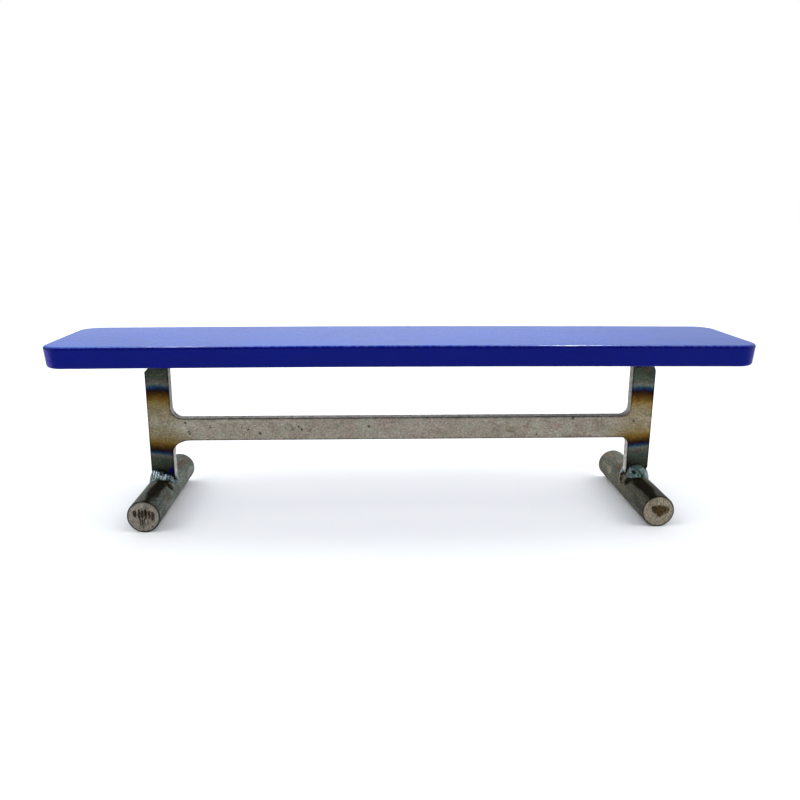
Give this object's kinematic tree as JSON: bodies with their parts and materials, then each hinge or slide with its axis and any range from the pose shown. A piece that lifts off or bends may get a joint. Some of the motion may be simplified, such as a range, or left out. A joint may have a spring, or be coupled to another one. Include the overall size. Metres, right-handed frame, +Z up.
{
  "type": "fingerboard bench",
  "caption": "Miniature welded steel bench for finger skateboarding: a blue painted flat bar on a bare H-shaped sheet frame that stands on round-bar feet.",
  "frame": {"origin": "on the surface that the bench stands on, below the middle of the top plate", "axes": "+X along the top plate, from the left foot to the right foot; +Y from front to back, along the foot bars; +Z up"},
  "size_m": [0.2032, 0.0444, 0.0536],
  "materials": {
    "blue_paint": "glossy royal blue paint",
    "bare_sheet": "bare mill-finish sheet steel, heat-tinted straw, brown and blue beside the welds",
    "mill_scale_bar": "dark grey-green mill scale, lighter bare steel on the saw-cut ends",
    "weld_metal": "rippled weld bead, shiny blue-grey with dark pits"
  },
  "bodies": {
    "root": {"top_plate": "blue_paint", "bench_frame": "bare_sheet", "left_foot_bar": "mill_scale_bar", "right_foot_bar": "mill_scale_bar", "left_foot_weld_front": "weld_metal", "left_foot_weld_rear": "weld_metal", "left_foot_weld_inner": "weld_metal", "left_foot_weld_outer": "weld_metal", "left_plate_weld_front": "weld_metal", "left_plate_weld_rear": "weld_metal", "left_plate_weld_outer": "weld_metal", "right_foot_weld_front": "weld_metal", "right_foot_weld_rear": "weld_metal", "right_foot_weld_inner": "weld_metal", "right_foot_weld_outer": "weld_metal", "right_plate_weld_front": "weld_metal", "right_plate_weld_rear": "weld_metal", "right_plate_weld_outer": "weld_metal"}
  },
  "joints": []
}
